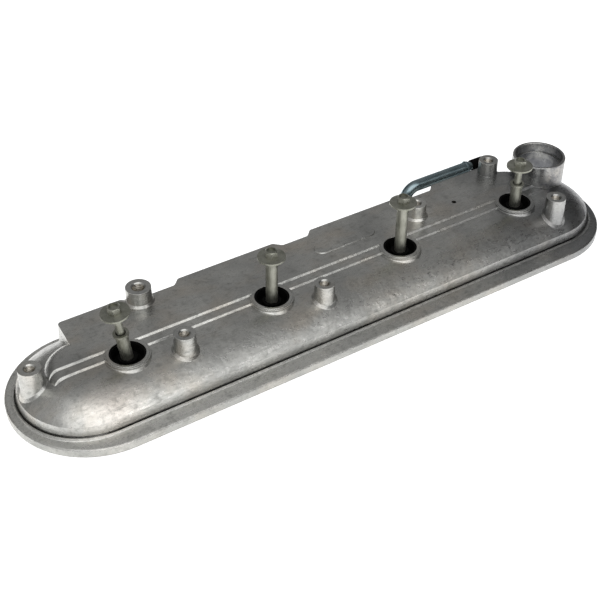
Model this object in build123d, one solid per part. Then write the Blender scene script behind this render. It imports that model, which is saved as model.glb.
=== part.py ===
from build123d import *
from math import cos, radians, sin, sqrt, tan
import os

# Driving dimensions of the cover, in millimetres.
bolt_pitch = 111.76          # one bolt over each cylinder, bores 4.4 inches apart
bolt_count = 4
pad_top = 31.0               # top of the bolt pads above the sealing face

# Rim and outline. The plan is a straight-sided oval.
flange_radius = 60.0         # half width of the flange, also the radius of its ends
outline_shift = 8.0          # the oval's centre line lies this far behind the bolts
left_overhang = 21.86        # from the first bolt to the centre of the left end
right_overhang = 18.36
end_reach = 5.8              # the dome's ends reach this much further out than the flange's
hollow_reach = 4.0
flange_edge = 5.8            # height of the flange's outer side
flange_chamfer = 0.7
flange_inner = 7.2           # height of the flange's top beside the wall
lip_width = 1.2
lip_rise = 0.8
flange_width = 10.8
groove_width = 0.9
groove_depth = 1.2
wall_draft = 1.3             # the wall leans in this much over its height
wall_top = 14.8
crown_level = 28.5           # top of the domed front above the sealing face
crown_flat = 14.1            # half width of the dome's level top
shell = 3.0                  # thickness of the casting
gasket_inset = 5.6           # centre of the gasket's groove from the flange's edge
gasket_width = 3.6
gasket_height = 3.0
gasket_gap = 0.1

# Raised deck behind the bolts, with two small steps along its front.
deck_back = 53.5
deck_left = -194.0
deck_right = 181.0
deck_draft = 4.0             # degrees
step_front = 1.3             # foot of the lower step, behind the bolt line
step_drop = 1.3
channel_width = 6.5
tip_left = -221.0
tip_right = 206.0
deck_corner = 3.0            # rounding of the deck's upright corners
shoulder_run = 8.0           # the deck's left end falls over this length to its tip
shoulder_past = 0.5
fall_start = 22.0            # the right end begins to fall this far beyond the last bolt
fall_depth = 5.0
notch_depth = 5.6
edge_notches = ((-124.0, 34.0), (-5.5, 22.0), (113.0, 17.0))
pad_panel_x = (-1.0, 52.0)   # long low panel on the deck
pad_panel_y = (22.0, 34.5)
pad_panel_rise = 0.7
pit_x, pit_y = 127.0, 24.8     # small conical dimple cast in the deck
pit_radius = 1.6
pit_depth = 1.2

# Bolt pads, with a bore that holds the rubber grommet.
pad_radius = 15.4
pad_step_radius = 14.3
pad_step = 0.5
pad_flare = 1.4
pad_flare_drop = 2.2         # the flare ends this far under the pad's top
pad_bore = 12.4
pad_ledge_radius = 10.4
grommet_depth = 13.0
ledge_thickness = 2.4

# Threaded bosses: place, top above the pads, top radius, thread radius, bevel of the foot.
bosses = (
    (-230.7, 11.0, 8.3, 7.75, 3.3, 1.6),
    (-135.5, 46.2, 11.5, 9.0, 4.3, 1.6),
    (-132.3, -14.3, 11.0, 7.5, 3.3, 1.6),
    (-23.3, -17.3, 9.5, 7.2, 3.3, 1.6),
    (90.5, 26.3, 11.5, 7.6, 3.3, 1.6),
    (177.4, 44.6, 11.5, 7.6, 3.3, 0.0),
    (186.4, -24.7, 11.0, 7.5, 3.3, 1.6),
)
boss_draft = 1.5             # degrees
boss_thread_depth = 16.0
boss_chamfer = 0.9

# Oil filler neck.
neck_x, neck_y = 211.4, 23.2
neck_rise = 16.0             # top of the neck above the bolt pads
neck_radius = 20.9
neck_wall = 2.3
neck_ledge_depth = 8.0
neck_ledge = 1.3
neck_chamfer = 0.5

# Captive bolts, their sleeves and grommets.
bolt_reach = 62.0            # under the washer face
shank_radius = 2.7
thread_radius = 2.95
thread_length = 15.0
bolt_tip = 1.2
washer_radius = 9.85
washer_rim = 1.3
washer_cone = 0.5
hex_across = 8.0
hex_height = 4.5
hex_recess_radius = 2.9
hex_recess_depth = 1.2
sleeve_length = 46.5
sleeve_radius = 4.25
sleeve_bore = 3.5
sleeve_flare_radius = 5.4
sleeve_flare_length = 1.6
sleeve_crimp_bore = 2.8
sleeve_crimp_drop = 19.0
sleeve_crimp_length = 3.0
grommet_gap = 0.03
grommet_top_drop = 0.8
grommet_dish = 5.5
grommet_hub_rise = 3.3       # the hub stands up from the floor of the dish
grommet_bead_radius = 11.5   # snaps in under the ledge
grommet_bead = 2.8
grommet_hub_radius = 6.6
grommet_lip_radius = 10.9
washer_lifts = (35.6, 33.3, 37.6, 31.4)    # washer face above the pads, as they stand
sleeve_lifts = (18.8, 33.25, 37.55, 17.0)  # sleeve top above the pads
lean_angle = 7.2             # degrees, the first bolt leans to the left end
lean_pivot = 24.0

# Vent tube along the back of the deck.
tube_radius = 4.6
tube_bore = 3.5
tube_y = 60.4
tube_z = 30.3
tube_left = 106.5
tube_shoulder = 170.0
tube_nipple_length = 10.5
tube_nipple_radius = 3.3
tube_bend = 11.0
tube_bead = 0.7
tube_seat_depth = 6.5
tube_pocket_floor = 6.0       # the seat runs on down to here, into a side passage
tube_passage_radius = 2.0
tube_seat_gap = 0.03
tube_nipple_bore = 2.3
tube_wall_y = 48.0
tube_boss_radius = 6.9
tube_boss_top = 17.0
cap_length = 12.0
cap_radius = 4.5
cap_grip = 7.0

# Oil baffle under the deck.
baffle_x = (-158.0, 70.0)
baffle_y = (18.0, 42.5)
baffle_z = 18.0
baffle_sheet = 1.2
baffle_rim = 5.0
baffle_screws = ((-146.0, 31.0), (-70.0, 31.0), (-18.0, 31.0), (58.0, 31.0))
post_radius = 4.2
screw_radius = 1.9
screw_length = 8.0
screw_head_radius = 3.8
screw_head = 2.2
screw_gap = 0.02

# Derived places.
first_bolt = -bolt_pitch * (bolt_count - 1) / 2
bolt_places = [first_bolt + bolt_pitch * number for number in range(bolt_count)]
left_centre = first_bolt - left_overhang
right_centre = -first_bolt + right_overhang
lip_outer = flange_radius - flange_width
lip_inner = lip_outer - lip_width
wall_radius = lip_inner - groove_width
crease_radius = wall_radius - wall_draft
crown_run = crease_radius - crown_flat
crown_rise = crown_level - wall_top
crown_radius = (crown_run**2 + crown_rise**2) / (2 * crown_rise)
crown_centre = crown_level - crown_radius
deck_top = pad_top
channel_level = deck_top - step_drop
shoulder_x = left_centre - end_reach
tube_end = tube_shoulder + tube_nipple_length


def side_plane(x):
    """Section plane across the cover, local x is the distance forward of the oval's centre line."""
    return Plane(origin=(x, outline_shift, 0), x_dir=(0, -1, 0), z_dir=(-1, 0, 0))


def oval_solid(outline, reach=0.0):
    """Carries a half section round the oval, whose turned ends may reach further out."""
    start = left_centre - reach
    end = right_centre + reach
    half = side_plane(start) * outline
    front = extrude(half, amount=end - start, dir=(1, 0, 0))
    back = mirror(front, about=Plane(origin=(0, outline_shift, 0), z_dir=(0, 1, 0)))
    left = revolve(half, Axis((start, outline_shift, 0), (0, 0, -1)), 180)
    other = side_plane(end) * outline
    right = revolve(other, Axis((end, outline_shift, 0), (0, 0, 1)), 180)
    return front + back + left + right


def crown_height(radius, thickness=0.0):
    """Height of the dome at a distance from the oval's centre line."""
    run = max(radius - crown_flat, 0.0)
    return crown_centre + sqrt((crown_radius - thickness)**2 - run**2)


def flange_section():
    """Half section of the flange, whose top rises a little towards the dome."""
    return make_face(Polyline(
        (0, 0),
        (flange_radius, 0),
        (flange_radius, flange_edge - flange_chamfer),
        (flange_radius - flange_chamfer, flange_edge),
        (lip_outer - lip_width / 2, flange_inner),
        (lip_outer - lip_width / 2, flange_inner - groove_depth - 1),
        (0, flange_inner - groove_depth - 1),
        close=True,
    ))


def dome_section():
    """Half section of the dome with the lip and the groove round its wall."""
    groove_floor = flange_inner - groove_depth
    middle = (crease_radius + crown_flat) / 2
    with BuildSketch() as section:
        with BuildLine():
            Polyline(
                (0, 1),
                (lip_outer, 1),
                (lip_outer, flange_inner),
                (lip_outer - lip_width * 0.4, flange_inner + lip_rise),
                (lip_inner, flange_inner + lip_rise),
                (wall_radius + groove_width * 0.6, groove_floor),
                (wall_radius, groove_floor),
                (crease_radius, wall_top),
            )
            ThreePointArc(
                (crease_radius, wall_top),
                (middle, crown_height(middle)),
                (crown_flat, crown_level),
            )
            Polyline((crown_flat, crown_level), (0, crown_level), (0, 1))
        make_face()
    return section.sketch


def inner_section():
    """Half section of the hollow under the dome."""
    foot = wall_radius - shell
    top_radius = crease_radius - shell
    middle = (top_radius + crown_flat) / 2
    with BuildSketch() as section:
        with BuildLine():
            Polyline(
                (0, -1),
                (foot, -1),
                (foot, flange_inner),
                (top_radius, crown_height(top_radius, shell)),
            )
            ThreePointArc(
                (top_radius, crown_height(top_radius, shell)),
                (middle, crown_height(middle, shell)),
                (crown_flat, crown_level - shell),
            )
            Polyline(
                (crown_flat, crown_level - shell),
                (0, crown_level - shell),
                (0, -1),
            )
        make_face()
    return section.sketch


def deck_plan():
    """Plan of the raised deck with the shallow notches in its back edge."""
    plan = make_face(Polyline(
        (shoulder_x, step_front),
        (tip_right, step_front),
        (tip_right, outline_shift + 6),
        (deck_right + 16, outline_shift + 26),
        (deck_right + 4, deck_back - 13),
        (deck_right, deck_back),
        (deck_left, deck_back),
        (shoulder_x - 1.2, outline_shift + 14),
        close=True,
    ))
    for x, width in edge_notches:
        floor = width / 2
        mouth = floor + 2 * notch_depth
        plan -= make_face(Polyline(
            (x - floor, deck_back - notch_depth),
            (x + floor, deck_back - notch_depth),
            (x + mouth, deck_back + notch_depth),
            (x - mouth, deck_back + notch_depth),
            close=True,
        ))
    return fillet(plan.vertices(), deck_corner)


def shoulder(level):
    """Round shoulder that lets a level of the deck fall to the dome at its left tip."""
    tip_radius = shoulder_x - tip_left
    start = tip_radius - shoulder_run
    fall = level - crown_height(tip_radius)
    bend = (shoulder_run**2 + fall**2) / (2 * fall)
    past = shoulder_run + shoulder_past
    end = (start + past, level - bend + sqrt(bend**2 - past**2))
    half = (start + past / 2, level - bend + sqrt(bend**2 - (past / 2)**2))
    face = make_face(
        Polyline((start, level), (0, level), (0, wall_top), (end[0], wall_top), end)
        + ThreePointArc(end, half, (start, level))
    )
    return Pos(shoulder_x, outline_shift, 0) * revolve(Plane.XZ * face, Axis.Z)


def stepped_front(front, level):
    """Everything behind a small bevelled step and below its level."""
    far = deck_back + 20
    profile = Plane.YZ * make_face(Polyline(
        (front - 10, level - step_drop - 10),
        (front + step_drop, level),
        (far, level),
        (far, flange_inner - 1),
        (front - 10, flange_inner - 1),
        close=True,
    ))
    return extrude(Pos(tip_left - 20, 0, 0) * profile, amount=tip_right - tip_left + 40)


def deck_solid():
    """The deck: its drafted plan and left shoulders, cut to two steps along the front."""
    low = flange_inner
    block = extrude(Pos(0, 0, deck_top) * deck_plan(), amount=-(deck_top - low), taper=-deck_draft)
    fall_x = -first_bolt + fall_start
    end_x = tip_right + 4
    side = Plane.XZ * make_face(
        Polyline((fall_x, deck_top), (tip_left, deck_top), (tip_left, low - 1), (end_x, low - 1))
        + Line((end_x, low - 1), (end_x, deck_top - fall_depth))
        + ThreePointArc(
            (end_x, deck_top - fall_depth),
            ((tip_right + fall_x) / 2, deck_top - fall_depth * 0.21),
            (fall_x, deck_top),
        )
    )
    block &= extrude(side, amount=100, both=True)
    channel_foot = step_front
    deck_foot = step_front + step_drop + channel_width
    channel = (block + shoulder(channel_level)) & stepped_front(channel_foot, channel_level)
    deck = (block + shoulder(deck_top)) & stepped_front(deck_foot, deck_top)
    return channel + deck


def deck_hollow():
    """The space under the deck, one wall thickness inside it."""
    inner = offset(deck_plan(), amount=-shell - 0.6, kind=Kind.INTERSECTION)
    block = extrude(Pos(0, 0, deck_top - shell) * inner, amount=-(deck_top - shell + 1))
    front = step_front + channel_width + 2 * step_drop + shell
    keep = Box(
        right_centre - left_centre - 10,
        deck_back,
        2 * deck_top,
        align=(Align.MIN, Align.MIN, Align.CENTER),
    )
    return block & (Pos(left_centre + 5, front, 0) * keep)


def cone_boss(x, y, top, radius, bottom):
    """A drafted round boss from a low level up to its machined top."""
    spread = (top - bottom) * tan(radians(boss_draft))
    return Pos(x, y, bottom) * Cone(
        radius + spread, radius, top - bottom, align=(Align.CENTER, Align.CENTER, Align.MIN)
    )


def runs_round(edge, x, y, inner, outer):
    """True where an edge runs round an upright axis within a band of radii."""
    for share in (0.05, 0.3, 0.55, 0.8):
        point = edge.position_at(share)
        radius = sqrt((point.X - x)**2 + (point.Y - y)**2)
        if not inner < radius < outer:
            return False
    rise = abs(edge.position_at(1).Z - edge.position_at(0).Z)
    return rise < 0.8 * edge.length


def bevel_foot(body, x, y, radius, bevel, low, high):
    """Bevels the foot of an upright boss where it meets the casting."""
    reach = (high - low) * tan(radians(boss_draft)) + 0.4
    ring = [
        edge for edge in body.edges()
        if runs_round(edge, x, y, radius - 0.4, radius + reach)
        and low < edge.center().Z < high
    ]
    return chamfer(ring, bevel)


def bolt_pad(x):
    """Round pad about a bolt, with a flared foot and a tube below it."""
    bottom = pad_top - grommet_depth - ledge_thickness
    foot = pad_top - pad_flare_drop
    section = Plane.XZ * make_face(Polyline(
        (0, bottom),
        (pad_radius, bottom),
        (pad_radius, foot - 2 * pad_flare),
        (pad_radius + pad_flare, foot - 2 * pad_flare),
        (pad_radius + pad_flare, foot - pad_flare),
        (pad_radius, foot),
        (pad_radius, pad_top - pad_step),
        (pad_step_radius, pad_top - pad_step),
        (pad_step_radius, pad_top),
        (0, pad_top),
        close=True,
    ))
    return Pos(x, 0, 0) * revolve(section, Axis.Z)


def pad_hole(x):
    """Stepped bore of a bolt pad: a pocket for the grommet over a narrower ledge."""
    floor = pad_top - grommet_depth
    pocket = Pos(x, 0, floor) * Cylinder(
        pad_bore, grommet_depth + 5, align=(Align.CENTER, Align.CENTER, Align.MIN)
    )
    through = Pos(x, 0, -2) * Cylinder(
        pad_ledge_radius, floor + 4, align=(Align.CENTER, Align.CENTER, Align.MIN)
    )
    return pocket + through


def boss_hole(x, y, top, radius):
    """Blind threaded hole with a chamfered mouth."""
    hole = Pos(x, y, top) * Cylinder(
        radius, boss_thread_depth, align=(Align.CENTER, Align.CENTER, Align.MAX)
    )
    mouth = Pos(x, y, top) * Cone(
        radius - 0.1, radius + boss_chamfer, boss_chamfer + 0.1, align=(Align.CENTER, Align.CENTER, Align.MAX)
    )
    return hole + mouth


def neck_hole():
    """Bore of the filler neck: a wide mouth over a ledge, then open to the inside."""
    top = pad_top + neck_rise
    mouth_radius = neck_radius - neck_wall
    mouth = Pos(neck_x, neck_y, top - neck_ledge_depth) * Cylinder(
        mouth_radius, neck_ledge_depth + 2, align=(Align.CENTER, Align.CENTER, Align.MIN)
    )
    throat_floor = flange_inner + 1
    throat = Pos(neck_x, neck_y, throat_floor) * Cylinder(
        mouth_radius - neck_ledge, top - throat_floor, align=(Align.CENTER, Align.CENTER, Align.MIN)
    )
    bevel = Pos(neck_x, neck_y, top - neck_chamfer) * Cone(
        mouth_radius, mouth_radius + 2 * neck_chamfer, 2 * neck_chamfer,
        align=(Align.CENTER, Align.CENTER, Align.MIN),
    )
    return mouth + throat + bevel


def tube_seat():
    """Seat of the vent tube, with the cored passage that joins it to the inside."""
    seat = Pos(tube_left, tube_y, tube_boss_top - tube_seat_depth) * Cylinder(
        tube_radius + tube_seat_gap, tube_seat_depth + 3, align=(Align.CENTER, Align.CENTER, Align.MIN)
    )
    pocket = Pos(tube_left, tube_y, tube_pocket_floor) * Cylinder(
        tube_bore, tube_boss_top - tube_pocket_floor, align=(Align.CENTER, Align.CENTER, Align.MIN)
    )
    passage_z = tube_pocket_floor + tube_passage_radius + 0.2
    middle = (tube_y + tube_wall_y) / 2
    passage = Pos(tube_left, middle, passage_z) * Rot(90, 0, 0) * Cylinder(
        tube_passage_radius, tube_y - tube_wall_y
    )
    return seat + pocket + passage


def gasket_ring(width, height):
    """An oval ring under the flange, standing on the sealing plane."""
    centre = flange_radius - gasket_inset
    section = Pos(centre, height / 2) * Rectangle(width, height)
    return oval_solid(section)


def make_cover():
    """The die casting with everything that is cast or machined on it."""
    body = oval_solid(flange_section()) + oval_solid(dome_section(), end_reach) + deck_solid()
    for x, y, rise, radius, thread, foot in bosses:
        body += cone_boss(x, y, pad_top + rise, radius, wall_top - 6)
        if foot > 0:
            body = bevel_foot(body, x, y, radius, foot, wall_top - shell, pad_top + 1)
    panel_size = (pad_panel_x[1] - pad_panel_x[0], pad_panel_y[1] - pad_panel_y[0])
    panel_place = ((pad_panel_x[0] + pad_panel_x[1]) / 2, (pad_panel_y[0] + pad_panel_y[1]) / 2)
    body += extrude(
        Pos(panel_place[0], panel_place[1], deck_top)
        * RectangleRounded(panel_size[0], panel_size[1], panel_size[1] / 2 - 0.1),
        amount=pad_panel_rise,
        taper=35,
    )
    neck = Pos(neck_x, neck_y, flange_edge - 1) * Cylinder(
        neck_radius, pad_top + neck_rise - flange_edge + 1, align=(Align.CENTER, Align.CENTER, Align.MIN)
    )
    body += chamfer(neck.faces().sort_by(Axis.Z)[-1].edges(), neck_chamfer)
    for x in bolt_places:
        body += bolt_pad(x)
    body += Pos(tube_left, tube_y, 0.5) * Cylinder(
        tube_boss_radius, tube_boss_top - 0.5, align=(Align.CENTER, Align.CENTER, Align.MIN)
    )

    hollow = oval_solid(inner_section(), hollow_reach) + deck_hollow()
    for x in bolt_places:
        column = Pos(x, 0, pad_top - grommet_depth - ledge_thickness) * Cylinder(
            pad_radius, grommet_depth + ledge_thickness, align=(Align.CENTER, Align.CENTER, Align.MIN)
        )
        hollow -= column
    for x, y, rise, radius, thread, foot in bosses:
        floor = pad_top + rise - boss_thread_depth - shell
        hollow -= Pos(x, y, floor) * Cylinder(
            radius, 40, align=(Align.CENTER, Align.CENTER, Align.MIN)
        )
    for x, y in baffle_screws:
        hollow -= Pos(x, y, baffle_z + baffle_sheet) * Cylinder(
            post_radius, pad_top, align=(Align.CENTER, Align.CENTER, Align.MIN)
        )
    body -= hollow
    for x in bolt_places:
        body -= pad_hole(x)
    for x, y, rise, radius, thread, foot in bosses:
        body -= boss_hole(x, y, pad_top + rise, thread)
    for x, y in baffle_screws:
        body -= Pos(x, y, baffle_z) * Cylinder(
            screw_radius, screw_length, align=(Align.CENTER, Align.CENTER, Align.MIN)
        )
    body -= Pos(pit_x, pit_y, deck_top) * Cone(
        pit_radius / 3, pit_radius, pit_depth, align=(Align.CENTER, Align.CENTER, Align.MAX)
    )
    body -= neck_hole()
    body -= tube_seat()
    body -= gasket_ring(gasket_width + 2 * gasket_gap, gasket_height + gasket_gap)
    return body


def make_gasket():
    """The rubber ring pressed into the groove, level with the sealing face."""
    return gasket_ring(gasket_width, gasket_height)


def lean(number):
    """Attitude of a bolt and its sleeve about the middle of the grommet."""
    x = bolt_places[number]
    angle = -lean_angle if number == 0 else 0.0
    return Pos(x, 0, lean_pivot) * Rot(0, angle, 0) * Pos(0, 0, -lean_pivot)


def make_grommet(number):
    """Rubber grommet: a wall in the pocket, a dished web and a hub about the sleeve."""
    wall = pad_bore - grommet_gap
    waist = pad_ledge_radius - grommet_gap
    top = pad_top - grommet_top_drop
    ledge = pad_top - grommet_depth
    under = ledge - ledge_thickness
    dish = top - grommet_dish
    hub_top = dish + grommet_hub_rise
    section = Plane.XZ * make_face(Polyline(
        (0, hub_top),
        (grommet_hub_radius, hub_top),
        (grommet_hub_radius, dish),
        (grommet_lip_radius - 1.5, dish),
        (grommet_lip_radius, top),
        (wall, top),
        (wall, ledge + grommet_gap),
        (waist, ledge + grommet_gap),
        (waist, under - grommet_gap),
        (grommet_bead_radius, under - grommet_gap),
        (waist, under - grommet_bead),
        (0, under - grommet_bead),
        close=True,
    ))
    body = Pos(bolt_places[number], 0, 0) * revolve(section, Axis.Z)
    bore = lean(number) * Pos(0, 0, lean_pivot) * Cylinder(sleeve_radius + grommet_gap, 2 * pad_top)
    return body - bore


def make_sleeve(number):
    """Steel sleeve with a flared head and a rolled crimp that keeps its bolt."""
    foot = -sleeve_length
    crimp_top = -sleeve_crimp_drop
    crimp_foot = crimp_top - sleeve_crimp_length
    section = Plane.XZ * make_face(Polyline(
        (sleeve_bore, 0),
        (sleeve_flare_radius, 0),
        (sleeve_flare_radius, -sleeve_flare_length),
        (sleeve_radius, -sleeve_flare_length - 0.8),
        (sleeve_radius, foot),
        (sleeve_bore, foot),
        (sleeve_bore, crimp_foot),
        (sleeve_crimp_bore, crimp_foot + 0.9),
        (sleeve_crimp_bore, crimp_top - 0.9),
        (sleeve_bore, crimp_top),
        close=True,
    ))
    body = revolve(section, Axis.Z)
    return lean(number) * Pos(0, 0, pad_top + sleeve_lifts[number]) * body


def make_bolt(number):
    """Captive bolt forged in one with its broad washer, a hexagon above and a thread below."""
    thread_start = -(bolt_reach - thread_length)
    cone_top = washer_rim + washer_cone
    hex_corner = hex_across / sqrt(3)
    section = Plane.XZ * make_face(Polyline(
        (0, cone_top),
        (hex_corner + 0.4, cone_top),
        (washer_radius, washer_rim),
        (washer_radius, 0),
        (shank_radius, 0),
        (shank_radius, thread_start + 0.4),
        (thread_radius, thread_start - 0.3),
        (thread_radius, -bolt_reach + bolt_tip),
        (thread_radius - bolt_tip, -bolt_reach),
        (0, -bolt_reach),
        close=True,
    ))
    body = revolve(section, Axis.Z)
    head = extrude(
        Pos(0, 0, cone_top - 0.1) * RegularPolygon(hex_across / 2, 6, major_radius=False),
        amount=hex_height + 0.1,
    )
    round_top = Pos(0, 0, cone_top - 0.1) * Cylinder(
        hex_corner, hex_height + 0.1, align=(Align.CENTER, Align.CENTER, Align.MIN)
    )
    round_top = chamfer(round_top.faces().sort_by(Axis.Z)[-1].edges(), 0.8)
    head = head & round_top
    recess = Pos(0, 0, cone_top + hex_height) * Cylinder(
        hex_recess_radius, hex_recess_depth, align=(Align.CENTER, Align.CENTER, Align.MAX)
    )
    return lean(number) * Pos(0, 0, pad_top + washer_lifts[number]) * (body + head - recess)


def make_tube():
    """Steel vent tube: up from its seat, round a bend, along, and necked down to a nipple."""
    low = tube_boss_top - tube_seat_depth + tube_seat_gap
    corner_x = tube_left + tube_bend
    corner_z = tube_z - tube_bend
    body = extrude(Pos(tube_left, tube_y, low) * Circle(tube_radius), amount=corner_z - low)
    body += revolve(
        Pos(tube_left, tube_y, corner_z) * Circle(tube_radius),
        Axis((corner_x, tube_y, corner_z), (0, 1, 0)),
        90,
    )
    neck = tube_shoulder + tube_radius - tube_nipple_radius
    run = Plane.XZ * make_face(Polyline(
        (corner_x, 0),
        (tube_end, 0),
        (tube_end, tube_nipple_radius),
        (neck, tube_nipple_radius),
        (tube_shoulder, tube_radius),
        (tube_shoulder - 1.4, tube_radius),
        (tube_shoulder - 1.9, tube_radius + tube_bead),
        (tube_shoulder - 2.6, tube_radius + tube_bead),
        (tube_shoulder - 3.1, tube_radius),
        (corner_x, tube_radius),
        close=True,
    ))
    body += Pos(0, tube_y, tube_z) * revolve(run, Axis.X)
    bore = Plane.XZ * make_face(Polyline(
        (corner_x, 0),
        (tube_end + 1, 0),
        (tube_end + 1, tube_nipple_bore),
        (tube_shoulder - 0.8, tube_nipple_bore),
        (tube_shoulder - 2, tube_bore),
        (corner_x, tube_bore),
        close=True,
    ))
    knee = tube_bend / cos(radians(15))
    turns = [
        (corner_x - knee * cos(radians(turn)), tube_y, corner_z + knee * sin(radians(turn)))
        for turn in (15, 45, 75)
    ]
    path = Polyline((tube_left, tube_y, low - 1), *turns, (corner_x + 1, tube_y, tube_z))
    bent = sweep(
        Pos(tube_left, tube_y, low - 1) * Circle(tube_bore), path=path, transition=Transition.RIGHT
    )
    return body - Pos(0, tube_y, tube_z) * revolve(bore, Axis.X) - bent


def make_tube_cap():
    """Soft blanking cap pushed over the nipple."""
    start = tube_end - cap_grip
    lie = Rot(0, 90, 0)
    body = Pos(start, tube_y, tube_z) * lie * Cylinder(
        cap_radius, cap_length, align=(Align.CENTER, Align.CENTER, Align.MIN)
    )
    body = chamfer(body.edges().filter_by(GeomType.CIRCLE), 0.5)
    bore = Pos(start - 1, tube_y, tube_z) * lie * Cylinder(
        tube_nipple_radius + tube_seat_gap, cap_grip + 2, align=(Align.CENTER, Align.CENTER, Align.MIN)
    )
    return body - bore


def make_baffle():
    """Pressed oil baffle, a flat sheet with its long sides turned down."""
    length = baffle_x[1] - baffle_x[0]
    width = baffle_y[1] - baffle_y[0]
    middle_x = (baffle_x[0] + baffle_x[1]) / 2
    middle_y = (baffle_y[0] + baffle_y[1]) / 2
    outside = Pos(middle_x, middle_y, baffle_z + baffle_sheet) * Box(
        length, width, baffle_rim + baffle_sheet, align=(Align.CENTER, Align.CENTER, Align.MAX)
    )
    outside = chamfer(outside.faces().sort_by(Axis.Z)[-1].edges().filter_by(Axis.X), 1.2)
    inside = Pos(middle_x, middle_y, baffle_z) * Box(
        length + 2, width - 2 * baffle_sheet, baffle_rim + 2, align=(Align.CENTER, Align.CENTER, Align.MAX)
    )
    body = outside - inside
    for x, y in baffle_screws:
        body -= Pos(x, y, baffle_z) * Cylinder(screw_radius + 0.2, 6)
    return body


def make_baffle_screw(number):
    """Pan head screw up through the baffle into its post."""
    x, y = baffle_screws[number]
    shank = Pos(x, y, baffle_z - screw_gap - 0.5) * Cylinder(
        screw_radius - screw_gap, screw_length, align=(Align.CENTER, Align.CENTER, Align.MIN)
    )
    head = Pos(x, y, baffle_z - screw_gap) * Cylinder(
        screw_head_radius, screw_head, align=(Align.CENTER, Align.CENTER, Align.MAX)
    )
    head = chamfer(head.faces().sort_by(Axis.Z)[0].edges(), 0.6)
    socket = extrude(
        Pos(x, y, baffle_z - screw_head - 0.1) * RegularPolygon(1.5, 6, major_radius=False),
        amount=1.3,
    )
    return shank + head - socket


pieces = {
    "cover": make_cover(),
    "gasket": make_gasket(),
    "vent_tube": make_tube(),
    "vent_tube_cap": make_tube_cap(),
    "baffle": make_baffle(),
}
for number in range(bolt_count):
    pieces[f"grommet_{number + 1}"] = make_grommet(number)
    pieces[f"sleeve_{number + 1}"] = make_sleeve(number)
    pieces[f"bolt_{number + 1}"] = make_bolt(number)
for number in range(len(baffle_screws)):
    pieces[f"baffle_screw_{number + 1}"] = make_baffle_screw(number)

# The shared origin is the middle of the outline on the sealing face.
centred = Pos(-(left_centre + right_centre) / 2, -outline_shift, 0)
os.makedirs("parts", exist_ok=True)
for name, piece in pieces.items():
    piece = centred * piece
    piece.label = name
    export_step(piece, f"parts/{name}.step")
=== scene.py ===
import math
import bpy
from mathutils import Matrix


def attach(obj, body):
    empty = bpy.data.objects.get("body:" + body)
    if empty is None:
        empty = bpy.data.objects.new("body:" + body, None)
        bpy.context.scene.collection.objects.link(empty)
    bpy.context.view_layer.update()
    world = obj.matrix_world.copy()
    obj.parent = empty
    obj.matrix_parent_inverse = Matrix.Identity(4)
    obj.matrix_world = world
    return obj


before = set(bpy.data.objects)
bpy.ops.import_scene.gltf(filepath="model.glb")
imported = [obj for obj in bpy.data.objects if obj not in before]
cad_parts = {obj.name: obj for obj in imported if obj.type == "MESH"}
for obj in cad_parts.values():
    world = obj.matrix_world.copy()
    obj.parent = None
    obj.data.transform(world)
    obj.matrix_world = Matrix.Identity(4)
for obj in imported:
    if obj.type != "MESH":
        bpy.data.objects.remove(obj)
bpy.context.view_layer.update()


# The cover is one die casting in aluminium: flange, domed front, raised deck,
# bolt pads, threaded bosses and filler neck. It is left bare, with a mottled skin and
# lighter edges, painted shade in its corners and at its right end, and painted
# highlights on its dome's left end and flange.
def new_surface(name):
    """An empty material with its main shader, and the tools to wire it."""
    surface = bpy.data.materials.new(name)
    surface.use_nodes = True
    tree = surface.node_tree
    return surface, tree, tree.nodes["Principled BSDF"]


def add_node(tree, kind, **settings):
    made = tree.nodes.new(kind)
    for key, value in settings.items():
        setattr(made, key, value)
    return made


def place_of(tree):
    """The point on the piece, in metres, and the way its surface faces."""
    return add_node(tree, "ShaderNodeTexCoord")


def stretched(tree, coordinates, size):
    """The same point on axes drawn out or pressed flat."""
    mapping = add_node(tree, "ShaderNodeMapping")
    mapping.inputs["Scale"].default_value = size
    tree.links.new(coordinates, mapping.inputs["Vector"])
    return mapping.outputs["Vector"]


def noise(tree, coordinates, scale, detail=4.0, rough=0.55):
    """A cloudy value round a half, finer as the scale rises."""
    made = add_node(tree, "ShaderNodeTexNoise")
    made.inputs["Scale"].default_value = scale
    made.inputs["Detail"].default_value = detail
    made.inputs["Roughness"].default_value = rough
    tree.links.new(coordinates, made.inputs["Vector"])
    return made.outputs["Fac"]


def between(tree, source, low, high, out_low=0.0, out_high=1.0):
    """Carries a value from one range to another and holds it at the ends."""
    made = add_node(tree, "ShaderNodeMapRange")
    made.inputs["From Min"].default_value = low
    made.inputs["From Max"].default_value = high
    made.inputs["To Min"].default_value = out_low
    made.inputs["To Max"].default_value = out_high
    tree.links.new(source, made.inputs["Value"])
    return made.outputs["Result"]


def worked_out(tree, kind, first, second):
    """Two values added or multiplied."""
    made = add_node(tree, "ShaderNodeMath", operation=kind)
    for number, value in enumerate((first, second)):
        if isinstance(value, (int, float)):
            made.inputs[number].default_value = value
        else:
            tree.links.new(value, made.inputs[number])
    return made.outputs["Value"]


def blended(tree, share, first, second):
    """One colour giving way to another as the share goes from 0 to 1."""
    made = add_node(tree, "ShaderNodeMix", data_type="RGBA")
    for socket, value in ((6, first), (7, second)):
        if isinstance(value, tuple):
            made.inputs[socket].default_value = (*value, 1.0)
        else:
            tree.links.new(value, made.inputs[socket])
    tree.links.new(share, made.inputs[0])
    return made.outputs[2]


def bumped(tree, shader, height, depth, strength, under=None):
    """Relief on the surface, on top of an earlier one if there is one."""
    made = add_node(tree, "ShaderNodeBump")
    made.inputs["Distance"].default_value = depth
    made.inputs["Strength"].default_value = strength
    tree.links.new(height, made.inputs["Height"])
    if under is not None:
        tree.links.new(under, made.inputs["Normal"])
    tree.links.new(made.outputs["Normal"], shader.inputs["Normal"])
    return made.outputs["Normal"]


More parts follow.
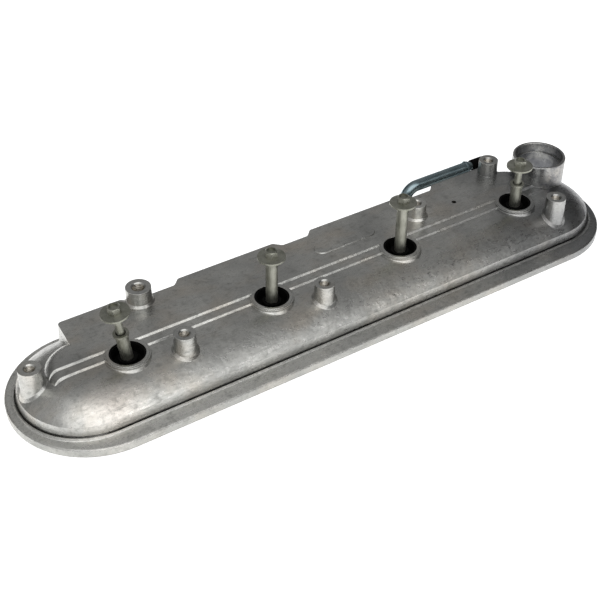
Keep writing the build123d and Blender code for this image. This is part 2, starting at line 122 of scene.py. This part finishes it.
def near_axis(tree, coordinates, x, y, inner, outer):
    """1 within a distance of an upright axis, falling to 0 further out."""
    flat = stretched(tree, coordinates, (1.0, 1.0, 0.0))
    away = add_node(tree, "ShaderNodeVectorMath", operation="DISTANCE")
    away.inputs[1].default_value = (x, y, 0.0)
    tree.links.new(flat, away.inputs[0])
    return between(tree, away.outputs["Value"], inner, outer, 1.0, 0.0)


def softened(tree, radius):
    """The way the surface faces once its sharp edges are worn round."""
    made = add_node(tree, "ShaderNodeBevel", samples=8)
    tree.links.new(radius, made.inputs["Radius"])
    return made.outputs["Normal"]


def dress(node, surface):
    """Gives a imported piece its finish."""
    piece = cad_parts[node]
    for place in piece.material_slots:
        place.material = surface


def split(tree, vector):
    """The x, y and z of a point or a direction."""
    made = add_node(tree, "ShaderNodeSeparateXYZ")
    tree.links.new(vector, made.inputs["Vector"])
    return made.outputs


cast, tree, shader = new_surface("cast_aluminium")
where = place_of(tree)
point = where.outputs["Object"]

skin_light = (0.67, 0.667, 0.635)
skin_dark = (0.43, 0.432, 0.418)
stain_and_painted_shade = (0.215, 0.218, 0.20)
skin_warm = (0.60, 0.54, 0.46)
painted_shade_and_dark_mottle = (0.16, 0.165, 0.18)
edge_light_and_painted_sheen = (0.90, 0.895, 0.85)
painted_highlight_tone = (0.92, 0.84, 0.76)
corner_painted_shade = (0.02, 0.019, 0.018)
pit_shade = (0.006, 0.005, 0.004)
flange_top, flange_foot = 0.0125, 0.0105
painted_highlight_centre = (-0.1905, -0.0385)
neck_axis = (0.21315, 0.0152)
pit_axis = (0.12875, 0.0168)
round_on_flange, round_above = 0.0020, 0.0005
nook_reach = 0.0022

cloud = noise(tree, point, 24.0, 5.0, 0.6)
mottle = noise(tree, point, 210.0, 5.0, 0.66)
scuff = noise(tree, stretched(tree, point, (1.0, 5.0, 5.0)), 110.0, 6.0, 0.68)
tint = noise(tree, stretched(tree, point, (1.0, 1.6, 1.0)), 30.0, 3.0, 0.5)
speck = noise(tree, point, 700.0, 3.0, 0.6)
along = split(tree, point)
facing = split(tree, where.outputs["Normal"])
skin = blended(tree, between(tree, cloud, 0.33, 0.68), skin_dark, skin_light)
skin = blended(tree, between(tree, tint, 0.48, 0.70, 0.0, 0.55), skin, skin_warm)

# A warm painted highlight on the dome's left end, where a reflection is brightest. A
# warm bright spot on the dome's left end, where the photograph is brightest. It may be a
# reflection there.
spot = near_axis(tree, point, *painted_highlight_centre, 0.002, 0.024)
skin = blended(tree, worked_out(tree, "MULTIPLY", spot, 0.6), skin, painted_highlight_tone)

# The flange's upper face is painted lighter towards the left, a painted reflection, and
# its side is painted darker, a painted shade. This follows the photograph's brightness,
# which may be reflection as much as wear.
on_flange = between(tree, along["Z"], flange_top, flange_foot)
lighter = worked_out(
    tree, "MULTIPLY", between(tree, facing["Z"], 0.75, 0.9), between(tree, along["X"], 0.06, -0.09, 0.1, 0.85)
)
flange_face_painted_sheen = worked_out(tree, "MULTIPLY", on_flange, lighter)
skin = blended(tree, flange_face_painted_sheen, skin, edge_light_and_painted_sheen)
flange_side_painted_shade = worked_out(tree, "MULTIPLY", on_flange, between(tree, facing["Z"], 0.3, 0.1, 0.0, 0.35))
skin = blended(tree, flange_side_painted_shade, skin, stain_and_painted_shade)

# Stains and specks. The right end is darkened with painted shade, and the foot and wall of
# the neck get a darker mottle.
skin = blended(tree, between(tree, mottle, 0.52, 0.74, 0.0, 0.55), skin, stain_and_painted_shade)
skin = blended(tree, between(tree, scuff, 0.54, 0.70, 0.0, 0.45), skin, stain_and_painted_shade)
skin = blended(tree, between(tree, speck, 0.55, 0.75, 0.0, 0.38), skin, stain_and_painted_shade)
right_end_painted_shade = worked_out(
    tree, "MULTIPLY", between(tree, along["X"], 0.09, 0.235, 0.0, 0.85),
    between(tree, along["Z"], 0.029, 0.036, 1.0, 0.5)
)
skin = blended(tree, right_end_painted_shade, skin, painted_shade_and_dark_mottle)
neck_dark_mottle = worked_out(
    tree, "MULTIPLY", near_axis(tree, point, *neck_axis, 0.0235, 0.030),
    between(tree, noise(tree, point, 90.0, 6.0, 0.75), 0.46, 0.60, 0.0, 0.75)
)
skin = blended(tree, neck_dark_mottle, skin, painted_shade_and_dark_mottle)

# Edges are rounded in shading and made lighter, and narrow corners are painted nearly
# black as painted shade.
soft_way = softened(tree, between(tree, along["Z"], 0.009, 0.014, round_on_flange, round_above))
turned_away = add_node(tree, "ShaderNodeVectorMath", operation="DOT_PRODUCT")
tree.links.new(soft_way, turned_away.inputs[0])
tree.links.new(add_node(tree, "ShaderNodeNewGeometry").outputs["Normal"], turned_away.inputs[1])
edge_lightening = between(tree, turned_away.outputs["Value"], 0.985, 0.90)
skin = blended(tree, worked_out(tree, "MULTIPLY", edge_lightening, 0.5), skin, edge_light_and_painted_sheen)
nook = add_node(tree, "ShaderNodeAmbientOcclusion", samples=6)
nook.inputs["Distance"].default_value = nook_reach
skin = blended(tree, between(tree, nook.outputs["AO"], 0.56, 0.30), skin, corner_painted_shade)
skin = blended(tree, near_axis(tree, point, *pit_axis, 0.0016, 0.0021), skin, pit_shade)
tree.links.new(skin, shader.inputs["Base Color"])
shader.inputs["Metallic"].default_value = 0.97
roughness = worked_out(
    tree, "ADD", between(tree, scuff, 0.3, 0.7, 0.22, 0.38), between(tree, mottle, 0.3, 0.7, -0.04, 0.08)
)
tree.links.new(roughness, shader.inputs["Roughness"])
grain = noise(tree, point, 1500.0, 3.0, 0.6)
orange = noise(tree, point, 230.0, 4.0, 0.6)
low_bump = bumped(tree, shader, orange, 0.00028, 0.7, under=soft_way)
bumped(tree, shader, grain, 0.00008, 0.7, under=low_bump)
dress("cover", cast)

# Threads of the seven bosses: tapped after casting, bright where the tap has cut.
# Six are taken as M8, for coil or loom brackets, and the second one as M10.
# Each row is x and y on the bolt line's axes, top, tapping radius and pitch, in mm.
line_x, line_y = 1.75, -8.0
boss_threads = (
    (-230.7, 11.0, 39.3, 3.3, 1.25),
    (-135.5, 46.2, 42.5, 4.3, 1.5),
    (-132.3, -14.3, 42.0, 3.3, 1.25),
    (-23.3, -17.3, 40.5, 3.3, 1.25),
    (90.5, 26.3, 42.5, 3.3, 1.25),
    (177.4, 44.6, 42.5, 3.3, 1.25),
    (186.4, -24.7, 42.0, 3.3, 1.25),
)
thread_steps = 36


def helix_ridge(name, centre, top, foot, wall, crest, pitch):
    """A triangular ridge wound round an upright axis, from its top down to its foot."""
    turns = (top - foot) / pitch
    count = int(turns * thread_steps)
    verts, faces = [], []
    for step in range(count + 1):
        angle = 2 * math.pi * step / thread_steps
        level = top - pitch * step / thread_steps
        for radius, drop in ((wall, 0.0), (crest, pitch * 0.5), (wall, pitch)):
            verts.append((
                (centre[0] + radius * math.cos(angle)) / 1000,
                (centre[1] + radius * math.sin(angle)) / 1000,
                (level - drop) / 1000,
            ))
        if step:
            a = 3 * (step - 1)
            faces += [(a, a + 1, a + 4, a + 3), (a + 1, a + 2, a + 5, a + 4)]
    mesh = bpy.data.meshes.new(name)
    mesh.from_pydata(verts, [], faces)
    mesh.update()
    made = bpy.data.objects.new(name, mesh)
    bpy.context.collection.objects.link(made)
    return made


cut, tree, shader = new_surface("tapped_thread")
point = place_of(tree).outputs["Object"]
rings = noise(tree, stretched(tree, point, (1.0, 1.0, 6.0)), 900.0, 3.0, 0.5)
tree.links.new(blended(tree, rings, (0.34, 0.32, 0.28), (0.66, 0.62, 0.55)), shader.inputs["Base Color"])
tree.links.new(between(tree, rings, 0.3, 0.7, 0.22, 0.36), shader.inputs["Roughness"])
shader.inputs["Metallic"].default_value = 1.0
for number, (x, y, top, radius, pitch) in enumerate(boss_threads, 1):
    wound = helix_ridge(
        f"boss_thread_{number}", (x + line_x, y + line_y), top - 0.9, top - 15.0, radius + 0.02, radius - 0.42, pitch
    )
    wound.data.materials.append(cut)
    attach(wound, "cover")

# The gasket is a moulded rubber ring pressed into the groove of the flange, level
# with the sealing face.
rubber, tree, shader = new_surface("moulded_rubber")
point = place_of(tree).outputs["Object"]
dust = noise(tree, point, 420.0, 4.0, 0.6)
tree.links.new(
    blended(tree, between(tree, dust, 0.45, 0.8), (0.002, 0.002, 0.002), (0.007, 0.0068, 0.0065)),
    shader.inputs["Base Color"]
)
tree.links.new(between(tree, dust, 0.3, 0.7, 0.55, 0.75), shader.inputs["Roughness"])
shader.inputs["Specular IOR Level"].default_value = 0.06
bumped(tree, shader, noise(tree, point, 1800.0, 2.0, 0.5), 0.00006, 0.6)
dress("gasket", rubber)

# Four rubber grommets sit in the bolt pads. Each is one moulding: a wall, a
# dished web and a hub that grips the sleeve.
for number in range(1, 5):
    dress(f"grommet_{number}", rubber)

# The sleeves are rolled steel with a flared head and a crimp that keeps the bolt,
# dull zinc plated with a yellowish bloom.
zinc, tree, shader = new_surface("dull_zinc")
point = place_of(tree).outputs["Object"]
bloom = noise(tree, point, 150.0, 4.0, 0.6)
fine = noise(tree, stretched(tree, point, (1.0, 1.0, 0.25)), 1400.0, 3.0, 0.6)
plate = blended(tree, between(tree, bloom, 0.35, 0.7), (0.24, 0.245, 0.20), (0.42, 0.42, 0.365))
plate = blended(tree, between(tree, fine, 0.45, 0.75, 0.0, 0.5), plate, (0.50, 0.50, 0.46))
tree.links.new(plate, shader.inputs["Base Color"])
tree.links.new(between(tree, fine, 0.3, 0.7, 0.34, 0.5), shader.inputs["Roughness"])
shader.inputs["Metallic"].default_value = 0.9
bumped(tree, shader, worked_out(tree, "ADD", fine, bloom), 0.00012, 0.6)
for number in range(1, 5):
    dress(f"sleeve_{number}", zinc)

# The captive bolts are cold headed with a broad washer under a small hexagon,
# and stand in their sleeves at different heights.
for number in range(1, 5):
    dress(f"bolt_{number}", zinc)

# Each ends in 15 mm of rolled M6 thread. The first bolt leans towards the end of the
# cover with its sleeve, and its thread leans with it. Rows: x, tip height and lean.
bolt_tips = ((-167.64, 4.6, 7.2), (-55.88, 2.3, 0.0), (55.88, 6.6, 0.0), (167.64, 0.4, 0.0))
lean_pivot = 24.0
for number, (x, tip, lean) in enumerate(bolt_tips, 1):
    foot = tip - lean_pivot
    wound = helix_ridge(f"bolt_thread_{number}", (0, 0), foot + 14.4, foot + 1.2, 2.93, 3.1, 1.0)
    tilt = math.radians(lean)
    for corner in wound.data.vertices:
        aside, rise = corner.co.x, corner.co.z
        corner.co.x = aside * math.cos(tilt) - rise * math.sin(tilt) + (x + line_x) / 1000
        corner.co.y += line_y / 1000
        corner.co.z = aside * math.sin(tilt) + rise * math.cos(tilt) + lean_pivot / 1000
    wound.data.materials.append(zinc)
    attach(wound, f"bolt_{number}")

# The vent tube is drawn steel, zinc plated with a bluish cast. It stands in an upright
# boss on the flange behind the deck, and is bent to run along the deck's back.
tube_zinc, tree, shader = new_surface("blue_zinc")
point = place_of(tree).outputs["Object"]
drawn = noise(tree, stretched(tree, point, (0.08, 1.0, 1.0)), 900.0, 3.0, 0.55)
stain = noise(tree, point, 60.0, 4.0, 0.6)
plate = blended(tree, between(tree, stain, 0.35, 0.68), (0.20, 0.28, 0.31), (0.36, 0.43, 0.45))
tree.links.new(plate, shader.inputs["Base Color"])
tree.links.new(between(tree, drawn, 0.3, 0.7, 0.20, 0.36), shader.inputs["Roughness"])
shader.inputs["Metallic"].default_value = 1.0
bumped(tree, shader, drawn, 0.00003, 0.5)
dress("vent_tube", tube_zinc)

# A soft black blanking cap closes the tube's end for storage and transport, and
# is only pushed on.
dress("vent_tube_cap", rubber)

# The oil baffle is pressed sheet steel, held up under the deck by four zinc plated
# screws. It keeps splashed oil out of the vent.
sheet, tree, shader = new_surface("pressed_sheet")
point = place_of(tree).outputs["Object"]
rolled = noise(tree, stretched(tree, point, (0.1, 1.0, 1.0)), 700.0, 3.0, 0.55)
oily = noise(tree, point, 45.0, 4.0, 0.6)
oiled = blended(tree, between(tree, oily, 0.35, 0.7), (0.36, 0.35, 0.33), (0.50, 0.50, 0.49))
tree.links.new(oiled, shader.inputs["Base Color"])
tree.links.new(between(tree, rolled, 0.3, 0.7, 0.26, 0.44), shader.inputs["Roughness"])
shader.inputs["Metallic"].default_value = 1.0
dress("baffle", sheet)
for number in range(1, 5):
    dress(f"baffle_screw_{number}", zinc)

# The photograph's ground is plain white and holds no shadow. Here it gives off light
# of its own, less towards the right, which also lights the casting's lower edges.
ground_mesh = bpy.data.meshes.new("ground")
reach = 60.0
ground_mesh.from_pydata(
    [(-reach, -reach, 0), (reach, -reach, 0), (reach, reach, 0), (-reach, reach, 0)], [], [(0, 1, 2, 3)]
)
ground = bpy.data.objects.new("ground", ground_mesh)
bpy.context.collection.objects.link(ground)
ground.location.z = -0.0002
paper, tree, shader = new_surface("white_paper")
point = place_of(tree).outputs["Object"]
fibre = blended(tree, noise(tree, point, 3.0), (0.90, 0.90, 0.90), (0.92, 0.92, 0.92))
tree.links.new(fibre, shader.inputs["Base Color"])
shader.inputs["Roughness"].default_value = 0.9
shader.inputs["Emission Color"].default_value = (1.0, 1.0, 1.0, 1.0)
tree.links.new(between(tree, split(tree, point)["X"], 0.6, 2.4, 0.85, 0.30), shader.inputs["Emission Strength"])
ground_mesh.materials.append(paper)

# The studio's light all comes from the world: a broad soft patch in front, weaker ones
# behind, on the left and overhead, and a small strong one in front on the right.
world = bpy.data.worlds.new("studio")
bpy.context.scene.world = world
world.use_nodes = True
sky = world.node_tree
way = add_node(sky, "ShaderNodeTexCoord").outputs["Generated"]


def soft_light(direction, edge, strength):
    """A round patch of sky, brightest in one direction and fading to its edge."""
    aimed = add_node(sky, "ShaderNodeVectorMath", operation="DOT_PRODUCT")
    size = math.sqrt(sum(part * part for part in direction))
    aimed.inputs[1].default_value = [part / size for part in direction]
    sky.links.new(way, aimed.inputs[0])
    patch = add_node(sky, "ShaderNodeMapRange", interpolation_type="SMOOTHSTEP")
    patch.inputs["From Min"].default_value = edge
    patch.inputs["From Max"].default_value = 1.0
    patch.inputs["To Max"].default_value = strength
    sky.links.new(aimed.outputs["Value"], patch.inputs["Value"])
    return patch.outputs["Result"]


room_level = 0.07
front, back = soft_light((-0.22, -0.62, 0.76), 0.70, 1.45), soft_light((0.40, 0.70, 0.59), 0.72, 0.22)
glow = worked_out(sky, "ADD", front, back)
for direction, edge, strength in (
    ((0.345, -0.640, 0.66), 0.968, 1.2), ((-0.75, 0.1, 0.65), 0.6, 0.35), ((0.05, -0.02, 1.0), 0.80, 0.34)
):
    glow = worked_out(sky, "ADD", glow, soft_light(direction, edge, strength))
sky.links.new(worked_out(sky, "ADD", glow, room_level), sky.nodes["Background"].inputs["Strength"])
sky.nodes["Background"].inputs["Color"].default_value = (1.0, 1.0, 1.0, 1.0)
bpy.context.scene.view_settings.view_transform = "Standard"

# The camera stands where the photograph was taken from, fitted to the bolt line.
lens = bpy.data.cameras.new("camera")
lens.sensor_width = 36.0
lens.lens = 70.16
camera = bpy.data.objects.new("camera", lens)
camera.location = (-0.3918, -0.5560, 0.5331)
camera.rotation_euler = (math.radians(51.859), math.radians(-0.362), math.radians(-33.106))
bpy.context.collection.objects.link(camera)
bpy.context.scene.camera = camera
